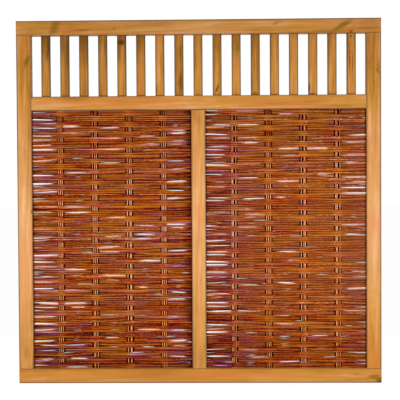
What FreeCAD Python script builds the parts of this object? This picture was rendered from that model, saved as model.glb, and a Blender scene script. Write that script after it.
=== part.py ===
# Woven willow fence panel: a stained softwood frame with an open slatted trellis
# along its top and two bays of willow woven round upright willow rods.
#
# The panel stands in the XZ plane and its front faces -Y. The origin is on the left
# stile's outer face, at half the panel's height and half the frame's depth.

import FreeCAD, Part
import os
import Sketcher

Vector = FreeCAD.Vector

doc = FreeCAD.newDocument("WillowPanel")


# Driving dimensions, in millimetres

SIZES = [
    ("panel_width", 1800, "across the stiles' outer faces"),
    ("panel_height", 1800, "from the bottom rail's underside to the top rail's top"),
    ("frame_depth", 45, "thickness of every frame member, front to back"),
    ("top_rail_height", 72, ""),
    ("middle_rail_height", 71, ""),
    ("bottom_rail_height", 72, ""),
    ("stile_width", 72, ""),
    ("mullion_width", 72, "upright between the two woven bays"),
    ("trellis_height", 302, "open height between the top rail and the middle rail"),
    ("arris_radius", 2, "rounding along the frame members' long edges"),
    ("tenon_length", 15, "stub tenons at every frame joint"),
    ("tenon_thickness", 15, ""),
    ("tenon_shoulder", 14, "left on each edge of a member beside its tenon"),
    ("fit_clearance", 0.3, "between a piece and the housing, groove or rod it sits at"),
    ("slat_count", 17, ""),
    ("slat_width", 45, ""),
    ("slat_thickness", 16, ""),
    ("slat_arris", 1.5, "chamfer along the slats' long edges"),
    ("slat_housing_depth", 12, "how far the rails' mortises take in a slat's end"),
    ("groove_depth", 12, "of the grooves that hold the ends of the willow"),
    ("rod_diameter", 6.5, "upright willow rods, across their corners"),
    ("rod_sides", 8, ""),
    ("rods_per_group", 3, ""),
    ("rod_pitch", 10.5, "between neighbouring rods of a group"),
    ("groups_per_bay", 4, ""),
    ("group_inset", 138, "from a bay's edge to its first group's centre"),
    ("band_height", 26, "nominal height of one band of willow, about four rods"),
    ("band_thickness", 7, ""),
    ("band_straight_end", 4, "straight length of a band outside its groove"),
]

sheet = doc.addObject("Spreadsheet::Sheet", "Sizes")
for row, (alias, value, note) in enumerate(SIZES, start=1):
    sheet.set(f"A{row}", alias)
    sheet.set(f"B{row}", str(value))
    sheet.set(f"C{row}", note)
    sheet.setAlias(f"B{row}", alias)
doc.recompute()


def size(alias):
    return float(getattr(sheet, alias))


# Heights and widths that follow from the driving dimensions, as expressions

STILE_LENGTH = "(Sizes.panel_height - Sizes.top_rail_height - Sizes.bottom_rail_height)"
OPENING_WIDTH = "(Sizes.panel_width - 2 * Sizes.stile_width)"
WEAVE_HEIGHT = f"({STILE_LENGTH} - Sizes.trellis_height - Sizes.middle_rail_height)"
BAY_WIDTH = f"(({OPENING_WIDTH} - Sizes.mullion_width) / 2)"
BOTTOM = "(-Sizes.panel_height / 2)"
WEAVE_BOTTOM = f"({BOTTOM} + Sizes.bottom_rail_height)"
WEAVE_TOP = f"({WEAVE_BOTTOM} + {WEAVE_HEIGHT})"
TRELLIS_BOTTOM = f"({WEAVE_TOP} + Sizes.middle_rail_height)"
TRELLIS_TOP = f"({TRELLIS_BOTTOM} + Sizes.trellis_height)"
SLAT_PITCH = f"(({OPENING_WIDTH} + Sizes.slat_width) / (Sizes.slat_count + 1))"
FIRST_SLAT = f"({SLAT_PITCH} - Sizes.slat_width)"
GROUP_PITCH = f"(({BAY_WIDTH} - 2 * Sizes.group_inset) / (Sizes.groups_per_bay - 1))"
BAY_LEFT = {
    "left_bay": "Sizes.stile_width",
    "right_bay": f"(Sizes.stile_width + {BAY_WIDTH} + Sizes.mullion_width)",
}

# How far a cutting profile runs past the face that it opens
OVERCUT = "1"


def value_of(expression):
    return float(sheet.evalExpression(expression))


# Building blocks for the frame members. Each member is drawn on its own XZ plane, with
# its lower left corner at its own origin, and is symmetrical front to back.

ROUNDED = "PartDesign::Fillet"
CHAMFERED = "PartDesign::Chamfer"


def place(item, x="0", z="0"):
    item.setExpression("Placement.Base.x", x)
    item.setExpression("Placement.Base.z", z)


def new_member(label):
    member = doc.addObject("PartDesign::Body", label)
    member.Label = label
    return member


def rectangle(member, name, left, bottom, width, height):
    sketch = member.newObject("Sketcher::SketchObject", name + "Outline")
    plane = [item for item in member.Origin.OriginFeatures if item.Role == "XZ_Plane"][0]
    sketch.AttachmentSupport = [(plane, "")]
    sketch.MapMode = "FlatFace"
    sketch.setExpression("AttachmentOffset.Base.x", left)
    sketch.setExpression("AttachmentOffset.Base.y", bottom)
    wide = value_of(width)
    high = value_of(height)
    corners = [Vector(0, 0, 0), Vector(wide, 0, 0), Vector(wide, high, 0), Vector(0, high, 0)]
    for start, end in zip(corners, corners[1:] + corners[:1]):
        sketch.addGeometry(Part.LineSegment(start, end), False)
    for side in range(4):
        sketch.addConstraint(Sketcher.Constraint("Coincident", side, 2, (side + 1) % 4, 1))
        direction = "Vertical" if side % 2 else "Horizontal"
        sketch.addConstraint(Sketcher.Constraint(direction, side))
    sketch.addConstraint(Sketcher.Constraint("Coincident", 0, 1, -1, 1))
    wide_constraint = sketch.addConstraint(Sketcher.Constraint("DistanceX", 0, 1, 0, 2, wide))
    high_constraint = sketch.addConstraint(Sketcher.Constraint("DistanceY", 1, 1, 1, 2, high))
    sketch.setExpression(f"Constraints[{wide_constraint}]", width)
    sketch.setExpression(f"Constraints[{high_constraint}]", height)
    return sketch


def extrude(member, kind, name, outline, thickness):
    feature = member.newObject(kind, name)
    feature.Profile = outline
    feature.SideType = "Symmetric"
    feature.setExpression("Length", thickness)
    return feature


def add_board(member, width, height, thickness, grain, easing_kind, easing_size):
    """The member's own board, with its four long edges eased along the grain."""
    outline = rectangle(member, "Board", "0", "0", width, height)
    board = extrude(member, "PartDesign::Pad", "Board", outline, thickness)
    doc.recompute()
    arrises = [
        f"Edge{number}"
        for number, edge in enumerate(board.Shape.Edges, start=1)
        if edge.tangentAt(edge.FirstParameter).cross(grain).Length < 0.001
    ]
    easing = member.newObject(easing_kind, "Easing")
    easing.Base = (board, arrises)
    easing.setExpression("Radius" if easing_kind == ROUNDED else "Size", easing_size)


def add_tenon(member, name, left, bottom, width, height):
    outline = rectangle(member, name, left, bottom, width, height)
    extrude(member, "PartDesign::Pad", name, outline, "Sizes.tenon_thickness")


def cut_slot(member, name, left, bottom, width, height, thickness):
    """A slot centred front to back, such as a mortise or a groove seen from the front."""
    outline = rectangle(member, name, left, bottom, width, height)
    thickness_with_clearance = f"{thickness} + 2 * Sizes.fit_clearance"
    return extrude(member, "PartDesign::Pocket", name, outline, thickness_with_clearance)


def repeat_along_rail(member, feature, count, pitch):
    pattern = member.newObject("PartDesign::LinearPattern", feature.Name + "Row")
    pattern.Originals = [feature]
    axis = [item for item in member.Origin.OriginFeatures if item.Role == "X_Axis"][0]
    pattern.Direction = (axis, [""])
    pattern.setExpression("Occurrences", count)
    pattern.setExpression("Length", f"({count} - 1) * {pitch}")
    member.Tip = pattern


SLOT_DEPTH = "Sizes.tenon_length + Sizes.fit_clearance"
TENON_CLEARANCE = "(Sizes.tenon_shoulder - Sizes.fit_clearance)"


def rail_mortise(member, name, post_left, post_width, mouth, deep_end):
    """A mortise in a rail's edge for the tenon of an upright that meets it there."""
    bottom = f"{mouth} - {OVERCUT}" if deep_end == "above" else f"{mouth} - ({SLOT_DEPTH})"
    cut_slot(
        member, name,
        f"{post_left} + {TENON_CLEARANCE}", bottom,
        f"{post_width} - 2 * {TENON_CLEARANCE}", f"{SLOT_DEPTH} + {OVERCUT}",
        "Sizes.tenon_thickness",
    )


def slat_mortises(member, left, mouth, deep_end):
    """The row of mortises that hold the slats' ends in a rail's edge."""
    depth = "Sizes.slat_housing_depth"
    bottom = f"{mouth} - {OVERCUT}" if deep_end == "above" else f"{mouth} - {depth}"
    mortise = cut_slot(
        member, "SlatMortise",
        f"{left} - Sizes.fit_clearance", bottom,
        "Sizes.slat_width + 2 * Sizes.fit_clearance", f"{depth} + {OVERCUT}",
        "Sizes.slat_thickness",
    )
    repeat_along_rail(member, mortise, "Sizes.slat_count", SLAT_PITCH)


def rod_groove(member, name, left, mouth, deep_end):
    """The groove in a rail's edge that holds the rods' ends across one bay."""
    depth = "Sizes.groove_depth"
    bottom = f"{mouth} - {OVERCUT}" if deep_end == "above" else f"{mouth} - {depth}"
    cut_slot(member, name, left, bottom, BAY_WIDTH, f"{depth} + {OVERCUT}", "Sizes.rod_diameter")


def band_groove(member, name, mouth, deep_end, bottom):
    """The groove in an upright's edge that holds the bands' ends."""
    depth = "Sizes.groove_depth"
    left = f"{mouth} - {OVERCUT}" if deep_end == "right" else f"{mouth} - {depth}"
    cut_slot(member, name, left, bottom, f"{depth} + {OVERCUT}", WEAVE_HEIGHT, "Sizes.band_thickness")


# Frame: two rails over the full width, two stiles between them, a middle rail between
# the stiles and a mullion under its centre

ALONG_X = Vector(1, 0, 0)
ALONG_Z = Vector(0, 0, 1)
MULLION_LEFT = f"(Sizes.stile_width + {BAY_WIDTH})"
RIGHT_STILE_LEFT = "(Sizes.panel_width - Sizes.stile_width)"


def add_frame_board(member, width, height, grain):
    add_board(member, width, height, "Sizes.frame_depth", grain, ROUNDED, "Sizes.arris_radius")


def make_top_rail():
    rail = new_member("top_rail")
    add_frame_board(rail, "Sizes.panel_width", "Sizes.top_rail_height", ALONG_X)
    rail_mortise(rail, "LeftStileMortise", "0", "Sizes.stile_width", "0", "above")
    rail_mortise(rail, "RightStileMortise", RIGHT_STILE_LEFT, "Sizes.stile_width", "0", "above")
    slat_mortises(rail, f"Sizes.stile_width + {FIRST_SLAT}", "0", "above")
    place(rail, z=TRELLIS_TOP)
    return rail


def make_bottom_rail():
    top = "Sizes.bottom_rail_height"
    rail = new_member("bottom_rail")
    add_frame_board(rail, "Sizes.panel_width", top, ALONG_X)
    rail_mortise(rail, "LeftStileMortise", "0", "Sizes.stile_width", top, "below")
    rail_mortise(rail, "RightStileMortise", RIGHT_STILE_LEFT, "Sizes.stile_width", top, "below")
    rail_mortise(rail, "MullionMortise", MULLION_LEFT, "Sizes.mullion_width", top, "below")
    rod_groove(rail, "LeftBayGroove", BAY_LEFT["left_bay"], top, "below")
    rod_groove(rail, "RightBayGroove", BAY_LEFT["right_bay"], top, "below")
    place(rail, z=BOTTOM)
    return rail


def make_stile(label, x, inner_edge, deep_end):
    """A stile: tenons at both ends, and on its inner edge the mortise for the middle
    rail and the groove for the bands."""
    stile = new_member(label)
    add_frame_board(stile, "Sizes.stile_width", STILE_LENGTH, ALONG_Z)
    tenon_width = "Sizes.stile_width - 2 * Sizes.tenon_shoulder"
    add_tenon(stile, "LowerTenon", "Sizes.tenon_shoulder", "-Sizes.tenon_length",
              tenon_width, "Sizes.tenon_length")
    add_tenon(stile, "UpperTenon", "Sizes.tenon_shoulder", STILE_LENGTH,
              tenon_width, "Sizes.tenon_length")
    mortise_left = f"{inner_edge} - {OVERCUT}" if deep_end == "right" else f"{inner_edge} - ({SLOT_DEPTH})"
    cut_slot(
        stile, "RailMortise",
        mortise_left, f"{WEAVE_HEIGHT} + {TENON_CLEARANCE}",
        f"{SLOT_DEPTH} + {OVERCUT}", f"Sizes.middle_rail_height - 2 * {TENON_CLEARANCE}",
        "Sizes.tenon_thickness",
    )
    band_groove(stile, "BandGroove", inner_edge, deep_end, "0")
    place(stile, x, WEAVE_BOTTOM)
    return stile


def make_middle_rail():
    rail = new_member("middle_rail")
    height = "Sizes.middle_rail_height"
    add_frame_board(rail, OPENING_WIDTH, height, ALONG_X)
    tenon_height = f"{height} - 2 * Sizes.tenon_shoulder"
    add_tenon(rail, "LeftTenon", "-Sizes.tenon_length", "Sizes.tenon_shoulder",
              "Sizes.tenon_length", tenon_height)
    add_tenon(rail, "RightTenon", OPENING_WIDTH, "Sizes.tenon_shoulder",
              "Sizes.tenon_length", tenon_height)
    rail_mortise(rail, "MullionMortise", BAY_WIDTH, "Sizes.mullion_width", "0", "above")
    rod_groove(rail, "LeftBayGroove", "0", "0", "above")
    rod_groove(rail, "RightBayGroove", f"{BAY_WIDTH} + Sizes.mullion_width", "0", "above")
    slat_mortises(rail, FIRST_SLAT, height, "below")
    place(rail, "Sizes.stile_width", WEAVE_TOP)
    return rail


def make_mullion():
    mullion = new_member("centre_mullion")
    add_frame_board(mullion, "Sizes.mullion_width", WEAVE_HEIGHT, ALONG_Z)
    tenon_width = "Sizes.mullion_width - 2 * Sizes.tenon_shoulder"
    add_tenon(mullion, "LowerTenon", "Sizes.tenon_shoulder", "-Sizes.tenon_length",
              tenon_width, "Sizes.tenon_length")
    add_tenon(mullion, "UpperTenon", "Sizes.tenon_shoulder", WEAVE_HEIGHT,
              tenon_width, "Sizes.tenon_length")
    band_groove(mullion, "LeftBandGroove", "0", "right", "0")
    band_groove(mullion, "RightBandGroove", "Sizes.mullion_width", "left", "0")
    place(mullion, MULLION_LEFT, WEAVE_BOTTOM)
    return mullion


# Trellis: a row of upright slats, their ends housed in the top and middle rails

def make_slat(number):
    hidden_end = "(Sizes.slat_housing_depth - Sizes.fit_clearance)"
    slat = new_member(f"slat_{number:02d}")
    add_board(slat, "Sizes.slat_width", f"Sizes.trellis_height + 2 * {hidden_end}",
              "Sizes.slat_thickness", ALONG_Z, CHAMFERED, "Sizes.slat_arris")
    place(
        slat,
        f"Sizes.stile_width + {FIRST_SLAT} + {number - 1} * {SLAT_PITCH}",
        f"{TRELLIS_BOTTOM} - {hidden_end}",
    )
    return slat


# Uprights: groups of willow rods that stand in the grooves of the middle and bottom
# rails and that the bands are woven round

def make_uprights(bay, group):
    hidden_end = "(Sizes.groove_depth - Sizes.fit_clearance)"
    label = f"{bay}_uprights_{group + 1}"
    rods = []
    for position in range(int(size("rods_per_group"))):
        rod = doc.addObject("Part::Prism", f"{label}_rod_{position + 1}")
        rod.setExpression("Polygon", "Sizes.rod_sides")
        rod.setExpression("Circumradius", "Sizes.rod_diameter / 2")
        rod.setExpression("Height", f"{WEAVE_HEIGHT} + 2 * {hidden_end}")
        place(rod, f"({position} - (Sizes.rods_per_group - 1) / 2) * Sizes.rod_pitch")
        rods.append(rod)
    uprights = doc.addObject("Part::Compound", label)
    uprights.Label = label
    uprights.Links = rods
    place(
        uprights,
        f"{BAY_LEFT[bay]} + Sizes.group_inset + {group} * {GROUP_PITCH}",
        f"{WEAVE_BOTTOM} - {hidden_end}",
    )
    return uprights


# Weave: bands of willow that pass in front of one group of rods and behind the next,
# each band the opposite way to the bands above and below it

def band_corners(side_of_first):
    """Corners along a band's middle, seen from above. The band leaves its groove in the
    rods' plane, and lies flat against each group of rods with the fit clearance."""
    half_group = (size("rods_per_group") - 1) / 2 * size("rod_pitch") + size("rod_diameter") / 2
    crown = size("rod_diameter") / 2 + size("fit_clearance") + size("band_thickness") / 2
    hidden_end = size("groove_depth") - size("fit_clearance")
    straight_end = size("band_straight_end")
    bay_width = value_of(BAY_WIDTH)
    corners = [Vector(-hidden_end, 0, 0), Vector(straight_end, 0, 0)]
    for group in range(int(size("groups_per_bay"))):
        centre = size("group_inset") + group * value_of(GROUP_PITCH)
        across = -side_of_first * (-1) ** group * crown
        corners.append(Vector(centre - half_group, across, 0))
        corners.append(Vector(centre + half_group, across, 0))
    corners.append(Vector(bay_width - straight_end, 0, 0))
    corners.append(Vector(bay_width + hidden_end, 0, 0))
    return corners


def band_outline(corners):
    """The closed outline of a band, its front and back mitred at each corner."""
    runs = [(end - start).normalize() for start, end in zip(corners, corners[1:])]
    front = []
    back = []
    for corner, before, after in zip(corners, runs[:1] + runs, runs + runs[-1:]):
        along = (before + after).normalize()
        to_front = Vector(along.y, -along.x, 0)
        reach = size("band_thickness") / 2 / along.dot(before)
        front.append(corner + to_front * reach)
        back.append(corner - to_front * reach)
    return Part.makePolygon(front + back[::-1] + front[:1])


def make_bands(bay, label, first_band, side_of_first):
    """Every second band of a bay, counted down from the middle rail."""
    height = value_of(WEAVE_HEIGHT)
    count = round(height / size("band_height"))
    pitch = height / count
    outline = Part.Face(band_outline(band_corners(side_of_first)))
    band = outline.extrude(Vector(0, 0, pitch - size("fit_clearance")))
    solids = []
    for number in range(first_band, count + 1, 2):
        solid = band.copy()
        solid.translate(Vector(0, 0, height - number * pitch + size("fit_clearance") / 2))
        solids.append(solid)
    bands = doc.addObject("Part::Feature", label)
    bands.Label = label
    bands.Shape = Part.makeCompound(solids)
    place(bands, BAY_LEFT[bay], WEAVE_BOTTOM)
    return bands


# The whole panel

subparts = [
    make_top_rail(),
    make_bottom_rail(),
    make_stile("left_stile", "0", "Sizes.stile_width", "left"),
    make_stile("right_stile", RIGHT_STILE_LEFT, "0", "right"),
    make_middle_rail(),
    make_mullion(),
]
for number in range(1, int(size("slat_count")) + 1):
    subparts.append(make_slat(number))
IN_FRONT = 1
BEHIND = -1
for bay in BAY_LEFT:
    for group in range(int(size("groups_per_bay"))):
        subparts.append(make_uprights(bay, group))
    subparts.append(make_bands(bay, f"{bay}_odd_bands", 1, IN_FRONT))
    subparts.append(make_bands(bay, f"{bay}_even_bands", 2, BEHIND))
doc.recompute()


# Checks: nothing failed, every shape is sound and every cut took wood away

for item in doc.Objects:
    if "Invalid" in item.State or "Error" in item.State:
        raise RuntimeError(f"{item.Label} did not build: {item.State}")
    if item.TypeId in ("PartDesign::Pocket", "PartDesign::LinearPattern"):
        if item.Shape.Volume >= item.BaseFeature.Shape.Volume - 1:
            raise RuntimeError(f"{item.Label} cuts nothing")
for subpart in subparts:
    if subpart.Shape.isNull() or not subpart.Shape.isValid():
        raise RuntimeError(f"{subpart.Label} has no sound shape")

os.makedirs("parts", exist_ok=True)
for subpart in subparts:
    subpart.Shape.exportStep(f"parts/{subpart.Label}.step")
    box = subpart.Shape.BoundBox
    print(f"{subpart.Label}: {len(subpart.Shape.Solids)} solids, {subpart.Shape.Volume / 1e6:.3f} litres,",
          f"x {box.XMin:.1f} to {box.XMax:.1f}, y {box.YMin:.1f} to {box.YMax:.1f},",
          f"z {box.ZMin:.1f} to {box.ZMax:.1f}")
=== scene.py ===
import math
import random

import bmesh
import bpy
from mathutils import Matrix, Vector, noise


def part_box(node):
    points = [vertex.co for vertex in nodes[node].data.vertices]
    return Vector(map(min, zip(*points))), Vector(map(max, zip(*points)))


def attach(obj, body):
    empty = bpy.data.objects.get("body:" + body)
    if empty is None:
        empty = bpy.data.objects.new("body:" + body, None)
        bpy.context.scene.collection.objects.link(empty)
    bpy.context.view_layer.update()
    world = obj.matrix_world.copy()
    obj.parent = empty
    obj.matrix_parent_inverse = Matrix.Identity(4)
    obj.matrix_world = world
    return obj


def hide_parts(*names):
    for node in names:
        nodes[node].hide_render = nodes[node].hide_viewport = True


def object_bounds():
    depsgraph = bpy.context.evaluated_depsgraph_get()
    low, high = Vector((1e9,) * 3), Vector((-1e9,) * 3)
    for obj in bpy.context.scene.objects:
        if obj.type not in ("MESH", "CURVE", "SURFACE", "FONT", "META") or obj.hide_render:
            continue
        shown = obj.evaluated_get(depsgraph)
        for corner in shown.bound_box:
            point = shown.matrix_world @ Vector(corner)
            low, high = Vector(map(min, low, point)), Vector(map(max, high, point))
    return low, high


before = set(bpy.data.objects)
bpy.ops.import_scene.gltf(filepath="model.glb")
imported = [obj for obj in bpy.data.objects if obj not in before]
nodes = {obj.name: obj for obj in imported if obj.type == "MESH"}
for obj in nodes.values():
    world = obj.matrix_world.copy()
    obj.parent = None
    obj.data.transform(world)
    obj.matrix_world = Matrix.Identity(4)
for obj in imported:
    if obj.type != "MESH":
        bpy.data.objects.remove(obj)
cad_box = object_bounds()

# The frame. Six sawn pine boards, planed, with softened arrises, tenoned together and
# brushed with a golden honey stain. Shade is painted dark along the arrises and on the
# edges, and a paler sheen on the middle heights. It lies darker over knots, and the stain
# left olive smears where the sapwood took it badly.


def colour(red, green, blue):
    """A colour written as it shows on a screen, from 0 to 255, as the shader's linear values."""
    return [((part / 255 + 0.055) / 1.055) ** 2.4 for part in (red, green, blue)] + [1.0]


def shader(tree, kind, out=0, inputs=(), **settings):
    """Adds a shader node, feeds its inputs with values or sockets, and returns one of its outputs."""
    node = tree.nodes.new("ShaderNode" + kind)
    for name, value in settings.items():
        setattr(node, name, value)
    for key, value in dict(inputs).items():
        if isinstance(value, bpy.types.NodeSocket):
            tree.links.new(value, node.inputs[key])
        else:
            node.inputs[key].default_value = value
    return node.outputs[out]


def ramp(tree, amount, *stops):
    """A colour for each amount, from stops of (position, colour)."""
    result = shader(tree, "ValToRGB", inputs={"Fac": amount})
    elements = result.node.color_ramp.elements
    while len(elements) < len(stops):
        elements.new(0.5)
    for element, (position, shown) in zip(elements, stops):
        element.position = position
        element.color = shown
    return result


def tinted(tree, amount, base, tint):
    """The base colour with the tint laid over it by an amount."""
    # A Mix node takes colours at its inputs 6 and 7 and gives one at its output 2.
    return shader(tree, "Mix", 2, {0: amount, 6: base, 7: tint}, data_type="RGBA")


def spread(tree, value, low, high, to_low=0.0, to_high=1.0):
    """The value, stretched so that low to high becomes to_low to to_high."""
    limits = {"Value": value, "From Min": low, "From Max": high, "To Min": to_low, "To Max": to_high}
    return shader(tree, "MapRange", inputs=limits)


def reckon(tree, operation, *values, clamp=False):
    """A sum of the values that the shader works out at each point, such as MULTIPLY or MAXIMUM."""
    return shader(tree, "Math", inputs=enumerate(values), operation=operation, use_clamp=clamp)


def figure(tree, place, shift, stretch, detail=3.0, wander=0.0):
    """Cloudy figure, stretched by a number of clouds a metre each way."""
    local = shader(tree, "Mapping", inputs={"Vector": place, "Location": shift, "Scale": stretch})
    values = {"Vector": local, "Scale": 1.0, "Detail": detail, "Roughness": 0.55, "Distortion": wander}
    return shader(tree, "TexNoise", inputs=values)


def spot(tree, place, middle, size, turn=0.0):
    """A soft ragged oval that goes through the panel from front to back: 1 at its middle and 0
    from its edge on. Size is how far it reaches along X and Z before it is turned."""
    right_through = 10.0
    oval = {
        "Vector": place,
        "Location": (middle[0], 0.0, middle[1]),
        "Rotation": (0.0, math.radians(turn), 0.0),
        "Scale": (size[0], right_through, size[1]),
    }
    local = shader(tree, "Mapping", vector_type="TEXTURE", inputs=oval)
    reach = shader(tree, "VectorMath", "Value", {0: local}, operation="LENGTH")
    rag = figure(tree, place, (0, 0, 0), (60, 60, 60))
    ragged = reckon(tree, "MULTIPLY_ADD", rag, 0.7, reach)
    fading = {"Value": ragged, "From Min": 1.35, "From Max": 0.5}
    return shader(tree, "MapRange", inputs=fading, interpolation_type="SMOOTHSTEP")


# The tints that marks lay over the ground colour, on the boards and on the willow. Most are stains;
# the peach one is a painted sheen and the pale one a painted highlight, where the front light shines.
STAINS_AND_SHEENS = {
    "olive": colour(122, 96, 6),
    "knot": colour(140, 62, 6),
    "orange": colour(214, 112, 32),
    "red": colour(206, 84, 56),
    "dark": colour(92, 58, 12),
    "gold": colour(206, 136, 38),
    "painted_sheen": colour(228, 166, 110),
    "lilac": colour(132, 78, 96),
    "pale": colour(255, 198, 154),
}


def stained_pine(name, grain, low, high, tone=0.5, dark_top=0.0, inner=0, marks=()):
    """Stained pine for a board that shows from low to high, with its grain along X or Z.

    Tone is how pale the board took the stain, dark_top how much of it pooled in the upper end,
    and marks are (kind, middle, size, turn in degrees, strength). Inner is 1 or -1 where the
    board's upper or lower side across the grain meets the rest of the panel, and the painted
    shade along that arris is lighter.
    """
    material = bpy.data.materials.new(name)
    material.use_nodes = True
    tree = material.node_tree
    surface = tree.nodes["Principled BSDF"]
    place = shader(tree, "TexCoord", "Object")
    along = grain == "X"

    # Slow streaks, closer ones and fibres, drawn out along the grain and different on each
    # board, and growth rings round a pith 90 mm in front of the board, a little askew to it.
    shift = (low.x * 7.3, 4.1, high.z * 5.7)
    slow = figure(tree, place, shift, (1.6, 30, 34) if along else (34, 30, 1.6), wander=0.4)
    close = figure(tree, place, shift, (5, 150, 150) if along else (150, 150, 5), 2.0)
    fibre = figure(tree, place, shift, (16, 600, 600) if along else (600, 600, 16), 2.0)
    if along:
        pith = {"Location": (0.0, 0.09, -0.02 - (low.z + high.z) / 2), "Rotation": (0.0, 0.0, 0.022)}
    else:
        pith = {"Location": (0.02 - (low.x + high.x) / 2, 0.09, 0.0), "Rotation": (0.022, 0.0, 0.0)}
    growth = {
        "Vector": shader(tree, "Mapping", inputs={"Vector": place, **pith}),
        "Scale": 34.0,
        "Distortion": 1.6,
        "Detail": 2.0,
        "Detail Scale": 0.12,
    }
    rings = shader(tree, "TexWave", "Fac", growth, wave_type="RINGS", rings_direction=grain)
    mottle = figure(tree, place, shift, (10, 30, 30) if along else (30, 30, 10), 5.0)
    slow = reckon(tree, "MULTIPLY_ADD", mottle, 0.4, slow)
    slow = reckon(tree, "SUBTRACT", slow, 0.2)
    figured = reckon(tree, "MULTIPLY_ADD", close, 0.45, slow)
    figured = reckon(tree, "MULTIPLY_ADD", rings, 0.10, figured)
    darker = 0.2 * (0.5 - tone)
    figured = spread(tree, figured, 0.51 + darker, 1.01 + darker)
    base = ramp(
        tree,
        figured,
        (0.0, colour(164, 103, 6)),
        (0.35, colour(200, 133, 36)),
        (0.65, colour(217, 149, 64)),
        (1.0, colour(234, 174, 118)),
    )

    # Rosy and green clouds, and the darker fibres.
    rosy = figure(tree, place, (3, 1, 2), (3, 8, 9) if along else (9, 8, 3))
    rosy = spread(tree, rosy, 0.52, 0.72)
    base = tinted(tree, rosy, base, tinted(tree, 0.35, base, colour(220, 124, 56)))
    green = figure(tree, place, (7, 5, 9), (5, 9, 14) if along else (14, 9, 5))
    green = spread(tree, green, 0.58, 0.74)
    base = tinted(tree, green, base, tinted(tree, 0.4, base, colour(156, 124, 30)))
    base = tinted(tree, spread(tree, fibre, 0.35, 0.65, 0.10, 0.0), base, colour(120, 70, 26))

    # The marks. Knots, olive smears and dark ones have soaked up the stain and lost their sheen.
    soaked = 0.0
    for kind, middle, size, turn, strength in marks:
        cover = reckon(tree, "MULTIPLY", spot(tree, place, middle, size, turn), strength)
        base = tinted(tree, cover, base, STAINS_AND_SHEENS[kind])
        if kind in ("olive", "dark", "knot"):
            soaked = reckon(tree, "MAXIMUM", cover, soaked)

    # The stain pools in a slat's upper end, where it stood in the dip.
    if dark_top:
        height = shader(tree, "SeparateXYZ", "Z", {0: place})
        pooled = spread(tree, height, high.z - 0.17, high.z - 0.01, 0.0, dark_top)
        cloudy = spread(tree, figure(tree, place, shift, (40, 40, 12)), 0.3, 0.6, 0.6, 1.0)
        pooled = reckon(tree, "MULTIPLY", pooled, cloudy)
        base = tinted(tree, pooled, base, colour(84, 56, 6))
        soaked = reckon(tree, "MAXIMUM", pooled, soaked)

    # Shade is painted along the arrises. Along an arris two faces meet, so there two of the distances
    # from the middle are full.
    reach = []
    for letter, one, other in zip("XYZ", low, high):
        value = shader(tree, "SeparateXYZ", letter, {0: place})
        centred = reckon(tree, "SUBTRACT", value, (one + other) / 2)
        distance = reckon(tree, "ABSOLUTE", centred)
        half = (other - one) / 2
        shaded_width = 0.002 if letter == grain else 0.008
        near = spread(tree, distance, half - shaded_width, half - shaded_width / 3)
        if inner and letter not in (grain, "Y"):
            less_shade_inside = spread(tree, centred, -0.001 * inner, 0.001 * inner, 1.0, 0.45)
            near = reckon(tree, "MULTIPLY", near, less_shade_inside)
        reach.append(near)
    arris = 0.0
    for first, second in ((0, 1), (1, 2), (0, 2)):
        meeting = reckon(tree, "MINIMUM", reach[first], reach[second])
        arris = reckon(tree, "MAXIMUM", meeting, arris)
    arris_shade = reckon(tree, "MULTIPLY", arris, 0.8)
    base = tinted(tree, arris_shade, base, colour(76, 54, 36))

    # Front and back are planed. The edges are left from the saw, so they are dull, and shade is
    # painted on them, darkest on the undersides.
    facing = shader(tree, "SeparateXYZ", "Y", {0: shader(tree, "NewGeometry", "Normal")})
    planed = spread(tree, reckon(tree, "ABSOLUTE", facing), 0.4, 0.95)
    underside_shade = spread(tree, facing.node.outputs["Z"], 0.3, 0.9, 0.5, 0.1)
    side_shade = reckon(tree, "MULTIPLY", spread(tree, planed, 0.0, 1.0, 1.0, 0.0), underside_shade)
    base = tinted(tree, side_shade, base, colour(100, 62, 24))
    tree.links.new(base, surface.inputs["Base Color"])
    dulled = spread(tree, soaked, 0.0, 0.8, 0.40, 0.10)
    shine = spread(tree, planed, 0.0, 1.0, 0.03, dulled)
    tree.links.new(shine, surface.inputs["Specular IOR Level"])

    rough = spread(tree, close, 0.3, 0.7, 0.36, 0.50)
    tree.links.new(rough, surface.inputs["Roughness"])
    relief = reckon(tree, "MULTIPLY_ADD", close, 0.6, fibre)
    bump = shader(tree, "Bump", inputs={"Height": relief, "Strength": 0.35, "Distance": 0.0006})
    tree.links.new(bump, surface.inputs["Normal"])
    return material


def finish_board(node, grain, shoulders, **looks):
    """Stains one board of the construction, which keeps its mesh and shows between its shoulders."""
    low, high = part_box(node)
    if grain == "X":
        low.x, high.x = shoulders
    else:
        low.z, high.z = shoulders
    stained = stained_pine(node + "_pine", grain, low, high, **looks)
    for slot in nodes[node].material_slots:
        slot.material = stained


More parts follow.
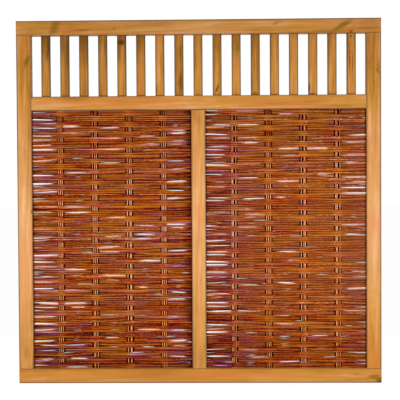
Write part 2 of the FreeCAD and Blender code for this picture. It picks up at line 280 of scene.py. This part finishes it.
whole_width = (cad_box[0].x, cad_box[1].x)
between_stiles = (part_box("left_stile")[1].x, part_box("right_stile")[0].x)
stile_ends = (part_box("bottom_rail")[1].z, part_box("top_rail")[0].z)
trellis_ends = (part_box("middle_rail")[1].z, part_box("top_rail")[0].z)
weave_ends = (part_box("bottom_rail")[1].z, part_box("middle_rail")[0].z)
finish_board(
    "top_rail",
    "X",
    whole_width,
    tone=0.64,
    inner=-1,
    marks=(
        ("gold", (1.520, 0.882), (0.480, 0.060), 0, 0.60),
        # A painted sheen along the middle of the top rail.
        ("painted_sheen", (0.820, 0.864), (0.480, 0.080), 0, 0.24),
        ("gold", (0.060, 0.864), (0.140, 0.070), 0, 0.35),
        ("knot", (1.740, 0.866), (0.110, 0.050), 0, 0.30),
        ("olive", (0.192, 0.864), (0.034, 0.064), 25, 0.65),
        ("orange", (0.240, 0.846), (0.030, 0.020), 35, 0.45),
        ("dark", (0.330, 0.853), (0.090, 0.004), 0, 0.45),
        ("knot", (0.486, 0.858), (0.014, 0.006), -20, 0.60),
        ("olive", (1.285, 0.878), (0.036, 0.014), -20, 0.45),
        ("olive", (1.612, 0.866), (0.090, 0.020), -28, 0.75),
        ("orange", (1.662, 0.856), (0.064, 0.012), -34, 0.65),
        ("knot", (1.653, 0.834), (0.016, 0.012), 0, 0.75),
        ("orange", (1.450, 0.885), (0.120, 0.009), 2, 0.55),
    ),
)
finish_board(
    "bottom_rail",
    "X",
    whole_width,
    tone=0.54,
    inner=1,
    marks=(
        ("gold", (0.900, -0.864), (1.800, 0.090), 0, 0.50),
        ("orange", (0.700, -0.864), (0.900, 0.050), 0, 0.20),
        ("olive", (0.680, -0.870), (0.440, 0.060), 0, 0.14),
        ("gold", (1.340, -0.880), (0.300, 0.050), 0, 0.45),
        ("olive", (1.765, -0.868), (0.045, 0.018), 0, 0.65),
        ("dark", (1.790, -0.888), (0.030, 0.020), 0, 0.75),
        ("dark", (1.672, -0.857), (0.030, 0.004), 0, 0.35),
    ),
)
finish_board(
    "middle_rail",
    "X",
    between_stiles,
    tone=0.24,
    inner=1,
    marks=(
        ("gold", (0.900, 0.491), (1.800, 0.090), 0, 0.25),
        ("orange", (0.560, 0.492), (0.520, 0.050), 0, 0.35),
        ("orange", (1.320, 0.480), (0.400, 0.040), 0, 0.35),
    ),
)
finish_board(
    "left_stile",
    "Z",
    stile_ends,
    tone=0.52,
    inner=1,
    marks=(
        ("gold", (0.036, 0.720), (0.070, 0.220), 0, 0.45),
        # A painted sheen down the middle heights of the stile.
        ("painted_sheen", (0.036, -0.350), (0.070, 0.900), 0, 0.25),
        ("gold", (0.036, 0.450), (0.070, 0.120), 0, 0.40),
        ("olive", (0.052, 0.700), (0.020, 0.048), 22, 0.75),
        ("orange", (0.030, 0.720), (0.010, 0.070), 0, 0.25),
        ("dark", (0.068, -0.044), (0.006, 0.016), 0, 0.60),
        ("olive", (0.040, -0.750), (0.024, 0.060), 0, 0.35),
    ),
)
finish_board(
    "right_stile",
    "Z",
    stile_ends,
    tone=0.36,
    inner=-1,
    marks=(
        ("orange", (1.741, 0.682), (0.010, 0.016), 0, 0.60),
        ("knot", (1.742, 0.684), (0.005, 0.007), 0, 0.60),
        ("olive", (1.785, 0.660), (0.014, 0.060), 0, 0.45),
        ("dark", (1.783, 0.640), (0.005, 0.030), -38, 0.70),
        # A painted sheen down the middle heights of the stile.
        ("painted_sheen", (1.764, -0.180), (0.070, 0.520), 0, 0.35),
        ("orange", (1.764, 0.300), (0.070, 0.130), 0, 0.25),
        ("orange", (1.764, -0.100), (0.060, 0.090), 0, 0.35),
        ("gold", (1.764, -0.800), (0.070, 0.160), 0, 0.60),
        ("orange", (1.764, -0.780), (0.070, 0.160), 0, 0.20),
    ),
)
finish_board(
    "centre_mullion",
    "Z",
    weave_ends,
    tone=0.32,
    marks=(
        # A painted sheen down the mullion.
        ("painted_sheen", (0.900, -0.200), (0.070, 1.000), 0, 0.25),
        ("orange", (0.900, -0.060), (0.060, 0.100), 0, 0.35),
        ("dark", (0.900, -0.790), (0.070, 0.100), 0, 0.14),
    ),
)

# The uprights. Dried willow rods in bunches of three, which the weave goes round, let into
# grooves under the middle rail and over the bottom rail. Their bark is paler than the
# withies', brown at the head, with a highlight painted at mid height, and golden at the foot.

# A rod's radius, the most that one reaches from its middle, how far the outer two stand from
# the middle of their bunch, and the number of lengths that a rod is bent in.
UPRIGHT_RADIUS = 0.0026
UPRIGHT_REACH = 0.0032
UPRIGHT_SPACING = 0.0096
UPRIGHT_LENGTHS = 24


def straight_rod(sides, lengths):
    """A straight unit rod along X, cut into equal lengths, as a mesh to copy and bend."""
    rod = bmesh.new()
    upright = Matrix.Rotation(math.radians(90), 4, "Y")
    lying = Matrix.Translation((0.5, 0.0, 0.0)) @ upright
    bmesh.ops.create_cone(
        rod, cap_ends=True, segments=sides, radius1=1.0, radius2=1.0, depth=1.0, matrix=lying
    )
    long_edges = [edge for edge in rod.edges if abs(edge.verts[0].co.x - edge.verts[1].co.x) > 0.5]
    bmesh.ops.subdivide_edges(rod, edges=long_edges, cuts=lengths - 1)
    for face in rod.faces:
        face.smooth = True
    mesh = bpy.data.meshes.new("straight rod")
    rod.to_mesh(mesh)
    rod.free()
    return mesh


def add_rod(rods, looks, rod, rings):
    """Adds a copy of the straight rod, bent through rings of (middle, radius, look)."""
    before = len(rods.verts)
    rods.from_mesh(rod)
    rods.verts.ensure_lookup_table()
    last = len(rings) - 1
    for vertex in rods.verts[before:]:
        along, beside, above = vertex.co
        index = round(along * last)
        middle, radius, look = rings[index]
        run = (rings[min(index + 1, last)][0] - rings[max(index - 1, 0)][0]).normalized()
        side = Vector((0.0, 1.0, 0.0))
        side = (side - side.dot(run) * run).normalized()
        vertex.co = middle + radius * (beside * side + above * run.cross(side))
        looks.extend(look)


def finish_rods(rods, looks, name, finish, node):
    """Makes the rods a piece that stands for a node of the construction."""
    mesh = bpy.data.meshes.new(name)
    rods.to_mesh(mesh)
    rods.free()
    mesh.attributes.new("look", "FLOAT_COLOR", "POINT").data.foreach_set("color", looks)
    mesh.materials.append(finish)
    piece = bpy.data.objects.new(name, mesh)
    bpy.context.scene.collection.objects.link(piece)
    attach(piece, "root")
    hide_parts(node)


def bark(name, barks, lying, crevice_share, *patches, foot=0.0, marks=()):
    """Willow bark for rods that lie or stand, with shade painted darker in the crevices by a share.

    Barks are stops of (place in the rods' range, colour). Patches are (clouds a metre along,
    clouds a metre across, from, to, share, colour), and marks (kind, middle, size, strength).
    Foot is how golden the bark is at the foot of the panel.

    Each rod's look holds its place in that range, how much shade is painted on it there, down to
    -1 where light is painted on it through a slit, how mauve, and whether a bunch shades its
    back (1) or its front (-1).
    """
    material = bpy.data.materials.new(name)
    material.use_nodes = True
    tree = material.node_tree
    surface = tree.nodes["Principled BSDF"]
    place = shader(tree, "TexCoord", "Object")
    look = shader(tree, "Attribute", "Vector", attribute_name="look")
    tone, painted_light_and_shade, mauve = shader(tree, "SeparateXYZ", inputs={0: look}).node.outputs
    mottle = figure(tree, place, (0, 0, 0), (50, 300, 300) if lying else (300, 300, 50), 3.0)
    own = reckon(tree, "ADD", spread(tree, mottle, 0.3, 0.7, -0.38, 0.38), tone)
    base = ramp(tree, own, *barks)
    for along, across, first, last, share, tint in patches:
        stretch = (along, across, across) if lying else (across, across, along)
        cloud = figure(tree, place, (4, 2, across), stretch)
        base = tinted(tree, spread(tree, cloud, first, last, 0.0, share), base, tint)
    for kind, middle, size, strength in marks:
        cover = reckon(tree, "MULTIPLY", spot(tree, place, middle, size), strength)
        base = tinted(tree, cover, base, STAINS_AND_SHEENS[kind])
    if foot:
        height = shader(tree, "SeparateXYZ", "Z", {0: place})
        golden = spread(tree, height, 0.0, -0.7, 0.0, foot)
        base = tinted(tree, golden, base, colour(244, 166, 78))
    blush = tinted(tree, tone, colour(126, 50, 88), colour(232, 146, 152))
    base = tinted(tree, mauve, base, blush)

    # Painted shade where other rods hide it, on the sides turned to them, and in a bunch's shade.
    open_sky = shader(tree, "AmbientOcclusion", "AO", {"Distance": 0.012}, samples=8)
    hidden = spread(tree, open_sky, 0.12, 0.75, crevice_share, 0.0)
    normal = shader(tree, "NewGeometry", "Normal")
    facing = shader(tree, "SeparateXYZ", "Z" if lying else "X", {0: normal})
    turned = spread(tree, reckon(tree, "ABSOLUTE", facing), 0.35, 0.90, 0.0, crevice_share)
    crevice = reckon(tree, "MAXIMUM", hidden, turned)
    crevice = reckon(tree, "ADD", crevice, painted_light_and_shade, clamp=True)
    rearward = reckon(tree, "MULTIPLY", facing.node.outputs["Y"], 1.6)
    shaded = look.node.outputs["Alpha"]
    crevice = reckon(tree, "MULTIPLY_ADD", rearward, shaded, crevice, clamp=True)
    base = tinted(tree, crevice, base, colour(58, 0, 0))
    tree.links.new(base, surface.inputs["Base Color"])
    tree.links.new(spread(tree, mottle, 0.3, 0.7, 0.38, 0.6), surface.inputs["Roughness"])
    bump = shader(tree, "Bump", inputs={"Height": mottle, "Strength": 0.4, "Distance": 0.0008})
    tree.links.new(bump, surface.inputs["Normal"])
    tree.links.new(spread(tree, crevice, 0.0, 1.0, 0.03, 0.0), surface.inputs["Specular IOR Level"])
    return material


upright_bark = bark(
    "upright_bark",
    (
        (0.0, colour(190, 76, 24)),
        (0.3, colour(238, 124, 68)),
        (0.6, colour(255, 172, 116)),
        (1.0, colour(255, 212, 174)),
    ),
    False,
    0.35,
    (6, 90, 0.46, 0.68, 0.35, colour(214, 122, 106)),
    foot=0.55,
    marks=(
        ("knot", (0.900, 0.480), (1.800, 0.420), 0.50),
        # A painted highlight along the middle heights of the uprights.
        ("pale", (0.900, -0.120), (1.800, 0.480), 0.60),
    ),
)
upright_rod = straight_rod(6, UPRIGHT_LENGTHS)
chance = random.Random(7)
for bay in ("left", "right"):
    for group in range(1, 5):
        node = f"{bay}_bay_uprights_{group}"
        low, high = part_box(node)
        rods, looks = bmesh.new(), []
        off_centre = chance.choice((-0.35, 0.0, 0.0, 0.35))
        for place_in_bunch in (-1, off_centre, 1):
            own_x = (low.x + high.x) / 2 + place_in_bunch * UPRIGHT_SPACING
            lean = chance.uniform(-0.002, 0.002)
            thick = UPRIGHT_RADIUS * chance.uniform(0.85, 1.1)
            tone = chance.uniform(0.3, 0.8)
            rings = []
            for step in range(UPRIGHT_LENGTHS + 1):
                up = step / UPRIGHT_LENGTHS
                x = own_x + chance.uniform(-0.001, 0.001) + lean * (2 * up - 1)
                x = min(max(x, low.x + UPRIGHT_REACH), high.x - UPRIGHT_REACH)
                middle = Vector((x, 0.0, low.z + up * (high.z - low.z)))
                look = (tone + chance.uniform(-0.45, 0.35), 0.0, 0.0, 0.0)
                rings.append((middle, thick * chance.uniform(0.9, 1.1), look))
            add_rod(rods, looks, upright_rod, rings)
        finish_rods(rods, looks, f"{node}_rods", upright_bark, node)

# The weave. Fresh willow withies, five or six to a band, that pass in front of one bunch of
# uprights and behind the next, each band the opposite way to its neighbours, and beaten
# down close. Their ends are trapped in grooves in the frame, where their tips leave slits.
BANDS = 49

# How far a band stands out at a bunch, how far its withies lie in front of that and behind
# it by turns, and how deep its ends go into the frame.
CROWN = 0.0071
LAYER = 0.0020
END_DEPTH = 0.004

# The spans of a bay, from one bunch to the next or to the frame, and where each is cut.
SPANS = 5
CUTS = (0.0, 0.07, 0.13, 0.37, 0.63, 0.87, 0.93)

withy_bark = bark(
    "withy_bark",
    (
        (0.0, colour(86, 8, 0)),
        (0.15, colour(150, 44, 6)),
        (0.35, colour(180, 76, 8)),
        (0.62, colour(189, 96, 34)),
        (0.78, colour(195, 118, 56)),
        (0.86, colour(156, 98, 16)),
        (0.94, colour(224, 130, 72)),
        (1.0, colour(242, 160, 126)),
    ),
    True,
    0.95,
    (6, 90, 0.48, 0.68, 0.45, colour(146, 50, 64)),
    (5, 36, 0.50, 0.60, 0.55, colour(202, 118, 14)),
    (4, 20, 0.56, 0.66, 0.40, colour(164, 88, 92)),
    (4, 50, 0.60, 0.72, 0.50, colour(196, 52, 22)),
    marks=(
        ("gold", (1.200, 0.400), (0.360, 0.110), 0.30),
        ("orange", (1.490, -0.100), (0.150, 0.640), 0.10),
        ("lilac", (0.780, 0.410), (0.130, 0.080), 0.20),
        ("lilac", (0.120, 0.400), (0.110, 0.080), 0.45),
        ("lilac", (1.060, -0.150), (0.200, 0.900), 0.20),
        ("lilac", (1.700, -0.150), (0.090, 0.900), 0.14),
    ),
)

# For the five spans of each bay, from left to right: how likely a band is to have a slit, how
# far that lies off the middle, how likely a withy is to be mauve or to end in shade, and how
# much paler it is. For a bay's two ends: how many times further its withies stray there.
SLIT_CHANCE = {
    "left": (0.62, 0.26, 0.24, 0.22, 0.52),
    "right": (0.78, 0.36, 0.20, 0.15, 0.22),
}
SLIT_LEAN = {"left": (-0.12, 0.0, 0.0, 0.0, -0.06), "right": (-0.1, 0.0, 0.0, 0.0, 0.1)}
MAUVE_CHANCE = {"left": (0.15, 0.04, 0.02, 0.04, 0.12), "right": (0.10, 0.02, 0.01, 0.01, 0.03)}
END_SHADE = {"left": (0.20, 0.0, 0.0, 0.0, 0.60), "right": (0.20, 0.0, 0.0, 0.0, 0.0)}
SPAN_TONES = {"left": (-0.08, -0.06, -0.02, -0.03, -0.12), "right": (-0.24, -0.02, 0.0, 0.06, 0.06)}
END_STRAY = {"left": (4.0, 1.5), "right": (4.0, 3.0)}

weave_pitch = (weave_ends[1] - weave_ends[0]) / BANDS
withy = straight_rod(5, SPANS * len(CUTS))


def plan_slits(bay, withies, chance):
    """A slit or None for each span of a band: its middle and half length as shares of the span,
    its opening, the slot above it, how mauve its edges are, a blush partly of painted light,
    and how dark the shade painted on its upper edge is, or -1 where light is painted there."""
    slits = []
    for span, share in enumerate(SLIT_CHANCE[bay]):
        lean = SLIT_LEAN[bay][span]
        middle = chance.uniform(0.3, 0.7) + lean
        half = chance.uniform(0.25, 0.55) + 2 * abs(lean)
        mauve = 0.8 if chance.random() < 2 * MAUVE_CHANCE[bay][span] else 0.0
        shut = chance.choice((-1.0, -1.0, 0.7))
        opening = chance.uniform(0.0032, 0.0055)
        slit = (middle, half, opening, chance.randint(1, withies), mauve, shut)
        if chance.random() > share:
            slit = None
        elif span and slits[-1] and chance.random() < 0.4:
            # The slit of the span before runs on past the bunch.
            slit = (0.3, 0.55) + slits[-1][2:]
            slits[-1] = (0.7, 0.55) + slits[-1][2:]
        slits.append(slit)
    return slits


def between(values, span, share):
    """The value a share of the way along a span, from the values at its two stations."""
    return values[span] + share * (values[span + 1] - values[span])


def lay_withy(bay, stations, row, depths, slits, slots, withies, chance):
    """The rings of one withy across a bay, past its stations at the frame and the bunches.

    Row is its band's height, depths how far back the band lies at each station, slots which
    place in the band the withy has there, counted upwards, and slits what plan_slits gives.
    """
    spacing = weave_pitch / withies
    taper = chance.choice((-1, 1)) * chance.uniform(0.04, 0.12)
    thick = spacing * 0.74 * chance.uniform(0.92, 1.12)
    in_front = slots[0] % 2 == 0
    layer = (-LAYER if in_front else LAYER) + chance.uniform(-0.0005, 0.0005)
    tone = chance.triangular(0.2, 1.0, 0.65) if in_front else chance.triangular(-0.3, 0.7, 0.1)
    stray = [chance.uniform(-0.0007, 0.0007) for _ in stations]
    stray[0] *= END_STRAY[bay][0]
    stray[-1] *= END_STRAY[bay][1]

    # Low down both bays are darker with painted shade, and the left one is more mauve, the right
    # one less. The withies of the right bay are more alike.
    low_down = min(max((-0.45 - row) / 0.35, 0.0), 1.0)
    more_mauve = 1 + 1.5 * low_down if bay == "left" else 1 - 0.9 * low_down
    mauves = [0.9 if chance.random() < more_mauve * share else 0.0 for share in MAUVE_CHANCE[bay]]
    mauve_middles = [chance.uniform(0.1, 0.9) for _ in range(SPANS)]
    dark_ends = [0.6 if chance.random() < share else 0.0 for share in END_SHADE[bay]]
    if bay == "right":
        tone = 0.58 + 0.65 * (tone - 0.58)
    tone -= 0.24 * low_down

    rings = []
    for span in range(SPANS):
        first, last = span == 0, span == SPANS - 1
        for cut in CUTS + ((1.0,) if last else ()):
            at_bunch = (cut < 0.1 and not first) or (cut > 0.9 and not last)
            near_frame = (first and cut < 0.3) or (last and cut > 0.7)
            eased = (1 - math.cos(math.pi * cut)) / 2
            x = between(stations, span, cut)
            depth = between(depths, span, eased)

            # The withy keeps to its slot, strays from it a little, and waves and tilts with
            # its band.
            above = (between(slots, span, eased) - (withies - 1) / 2) * spacing
            above += between(stray, span, eased)
            above += 0.003 * noise.noise(Vector((x * 4, 3.0, row * 7)))
            tilt = 0.010 * noise.noise(Vector((row * 90, span * 3.7, 5.0)))
            above += tilt * (cut - 0.5) * min(9 * cut * (1 - cut), 1.0)

            # A slit bends it away. Where the withy is an edge of the slit it is painted with the
            # slit's light, paler or with a mauve blush that is partly bark colour, or the edge above
            # is painted in shade. No slit reaches the frame where most ends are in shade.
            painted_light_and_shade, paler = 0.0, SPAN_TONES[bay][span]
            mauve = mauves[span] * max(1 - ((cut - mauve_middles[span]) / 0.5) ** 2, 0.0)
            if slits[span] and not at_bunch and not (near_frame and END_SHADE[bay][span] > 0.5):
                middle, half, opening, slot_above, blush, shut = slits[span]
                opened = max(1 - ((cut - middle) / half) ** 4, 0.0)
                away = slots[span] + 0.5 - slot_above
                above += math.copysign(opening / 2, away) * opened / (0.4 + abs(away))
                if abs(away) < 1:
                    mauve = max(mauve, blush * opened)
                    if not blush:
                        paler += 0.46 * opened
                    painted_light_and_shade = -opened if away < 0 else shut * opened

            # Shade is painted on its very ends in their grooves, and a bunch shades it as it passes.
            if near_frame and cut in (0.0, 1.0):
                painted_light_and_shade = 1.0
            elif near_frame and painted_light_and_shade == 0.0:
                painted_light_and_shade = dark_ends[span]
            shaded = math.copysign(1.0, -depth) if at_bunch else 0.0

            # It tapers from one end to the other, and is beaten broader round the bunches.
            across_bay = (x - stations[0]) / (stations[-1] - stations[0])
            radius = thick * (1 + taper * (2 * across_bay - 1))
            if (cut < 0.2 and not first) or (cut > 0.8 and not last):
                radius *= 1.2
            look = (tone + paler, painted_light_and_shade, mauve, shaded)
            rings.append((Vector((x, depth + layer, row + above)), radius, look))
    return rings


for bay, left, right in (
    ("left", "left_stile", "centre_mullion"),
    ("right", "centre_mullion", "right_stile"),
):
    bunches = [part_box(f"{bay}_bay_uprights_{group}") for group in range(1, 5)]
    stations = [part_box(left)[1].x - END_DEPTH]
    stations += [(low.x + high.x) / 2 for low, high in bunches]
    stations += [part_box(right)[0].x + END_DEPTH]
    for first_band, parity, crown in ((0, "odd", -CROWN), (1, "even", CROWN)):
        chance = random.Random(f"{bay} {parity}")
        depths = (0.0, crown, -crown, crown, -crown, 0.0)
        rods, looks = bmesh.new(), []
        for band in range(first_band, BANDS, 2):
            row = weave_ends[1] - (band + 0.5) * weave_pitch
            withies = chance.choice((5, 5, 6))
            slits = plan_slits(bay, withies, chance)

            # The withies lie one above the other, and now and then two change places.
            order = list(range(withies))
            orders = []
            for _ in stations:
                if chance.random() < 0.22:
                    swapped = chance.randrange(withies - 1)
                    order[swapped], order[swapped + 1] = order[swapped + 1], order[swapped]
                orders.append(list(order))
            for number in range(withies):
                slots = [order.index(number) for order in orders]
                rings = lay_withy(bay, stations, row, depths, slits, slots, withies, chance)
                add_rod(rods, looks, withy, rings)
        node = f"{bay}_bay_{parity}_bands"
        finish_rods(rods, looks, f"{bay}_bay_{parity}_withies", withy_bark, node)

# The trellis. Seventeen planed pine slats, thinner than the frame, let into the undersides
# and tops of the rails. They were dipped in the same stain, so each has its own tone, and
# most are darker at the upper end.

# From left to right: how dark each slat's upper end is, and how pale its stain.
SLAT_TOPS = (0.9, 0.4, 0.7, 0.5, 0.6, 0.6, 0.0, 0.0, 0.1, 0.3, 0.5, 0.2, 0.1, 0.1, 0.1, 0.2, 0.2)
SLAT_TONES = (
    0.0, -0.7, 0.1, 0.1, -0.6, 0.2, 0.1, -0.7, -0.2, -0.8, 0.1, -0.7, 0.2, 0.6, 0.7, 0.0, -0.1
)
SLAT_MARKS = {
    1: [("dark", (0.158, 0.770), (0.010, 0.110), 8, 0.70)],
    2: [("dark", (0.254, 0.740), (0.012, 0.150), 0, 0.60)],
    3: [
        ("olive", (0.338, 0.790), (0.012, 0.050), 0, 0.60),
        ("knot", (0.334, 0.545), (0.006, 0.008), 0, 0.60),
    ],
    4: [("olive", (0.440, 0.780), (0.011, 0.080), 0, 0.75)],
    5: [
        ("dark", (0.519, 0.793), (0.034, 0.022), 0, 1.0),
        ("red", (0.516, 0.822), (0.018, 0.018), 0, 1.0),
    ],
    6: [("orange", (0.616, 0.640), (0.024, 0.180), 0, 0.45)],
    7: [("olive", (0.693, 0.555), (0.008, 0.045), 0, 0.75)],
    8: [
        ("olive", (0.814, 0.740), (0.013, 0.070), 0, 0.70),
        ("dark", (0.813, 0.590), (0.012, 0.080), 0, 0.70),
    ],
    10: [("dark", (0.994, 0.560), (0.008, 0.042), 22, 0.85)],
    11: [("olive", (1.096, 0.760), (0.012, 0.060), 0, 0.60)],
    12: [
        ("dark", (1.166, 0.590), (0.006, 0.070), 0, 0.55),
        ("dark", (1.180, 0.536), (0.018, 0.010), 0, 0.50),
    ],
    15: [
        ("dark", (1.449, 0.560), (0.008, 0.040), 0, 0.80),
        ("dark", (1.460, 0.532), (0.016, 0.008), 0, 0.55),
    ],
    17: [
        ("orange", (1.656, 0.670), (0.016, 0.180), 0, 0.60),
        ("knot", (1.654, 0.812), (0.008, 0.010), 0, 0.8),
        ("dark", (1.648, 0.700), (0.005, 0.100), 0, 0.75),
        ("dark", (1.662, 0.680), (0.004, 0.080), 0, 0.65),
    ],
}
for number, (top, tone) in enumerate(zip(SLAT_TOPS, SLAT_TONES), 1):
    finish_board(
        f"slat_{number:02d}",
        "Z",
        trellis_ends,
        tone=tone,
        dark_top=top,
        marks=SLAT_MARKS.get(number, ()),
    )

# The white studio. A white floor and surroundings, soft light from all round, and two long
# softboxes at about the height of the panel's middle, one in front and a weaker one behind.
LIGHT_AROUND = 0.44
SOFTBOX_DISTANCE = 1.4
panel_middle = (cad_box[0].x + cad_box[1].x) / 2


def seen_white(tree):
    """1 for the rays that the white background is for: to the eye, in gloss and through glass."""
    rays = shader(tree, "LightPath").node.outputs
    eye, gloss, glass = (rays[f"Is {kind} Ray"] for kind in ("Camera", "Glossy", "Transmission"))
    return reckon(tree, "MAXIMUM", reckon(tree, "MAXIMUM", eye, gloss), glass)


world = bpy.data.worlds.new("white studio")
world.use_nodes = True
tree = world.node_tree
around = shader(tree, "Background", inputs={"Color": (1, 1, 1, 1), "Strength": LIGHT_AROUND})
white = shader(tree, "Background", inputs={"Color": (1, 1, 1, 1), "Strength": 1.0})
both = shader(tree, "MixShader", inputs={0: seen_white(tree), 1: around, 2: white})
tree.links.new(both, tree.nodes["World Output"].inputs["Surface"])
bpy.context.scene.world = world

floor_white = bpy.data.materials.new("floor_white")
floor_white.use_nodes = True
tree = floor_white.node_tree
lit = shader(tree, "BsdfDiffuse", inputs={"Color": (0.85, 0.85, 0.85, 1)})
white = shader(tree, "Emission", inputs={"Color": (1, 1, 1, 1), "Strength": 1.05})
share = reckon(tree, "MULTIPLY", seen_white(tree), 0.9)
both = shader(tree, "MixShader", inputs={0: share, 1: lit, 2: white})
tree.links.new(both, tree.nodes["Material Output"].inputs["Surface"])

ground = bmesh.new()
level = Matrix.Translation((panel_middle, 0.0, cad_box[0].z))
bmesh.ops.create_grid(ground, x_segments=1, y_segments=1, size=30.0, matrix=level)
floor_mesh = bpy.data.meshes.new("studio_floor")
ground.to_mesh(floor_mesh)
ground.free()
floor_mesh.materials.append(floor_white)
floor = bpy.data.objects.new("studio_floor", floor_mesh)
bpy.context.scene.collection.objects.link(floor)

for side, power, turn in (("front", 27.0, 0), ("back", 16.0, 180)):
    softbox = bpy.data.lights.new(f"{side}_softbox", "AREA")
    softbox.shape = "RECTANGLE"
    softbox.size = 4.0
    softbox.size_y = 0.3
    softbox.energy = power
    lamp = bpy.data.objects.new(f"{side}_softbox", softbox)
    lamp.matrix_world = (
        Matrix.Translation((panel_middle, 0.0, 0.0))
        @ Matrix.Rotation(math.radians(turn), 4, "Z")
        @ Matrix.Translation((0.0, -SOFTBOX_DISTANCE, -0.10))
        @ Matrix.Rotation(math.radians(90), 4, "X")
    )
    lamp.visible_camera = False
    bpy.context.scene.collection.objects.link(lamp)

# The camera. A long lens 4.5 m in front of the panel, a little above its middle and to the
# right of it, turned back and down to it by about a degree and rolled by a third of one.
lens = bpy.data.cameras.new("camera")
lens.sensor_width = 36.0
lens.lens = 81.5
camera = bpy.data.objects.new("camera", lens)
camera.matrix_world = (
    Matrix.Translation((1.001, -4.5, 0.110))
    @ Matrix.Rotation(math.radians(1.21), 4, "Z")
    @ Matrix.Rotation(math.radians(90 - 1.28), 4, "X")
    @ Matrix.Rotation(math.radians(-0.34), 4, "Z")
)
bpy.context.scene.collection.objects.link(camera)
bpy.context.scene.camera = camera
bpy.context.scene.view_settings.view_transform = "Standard"
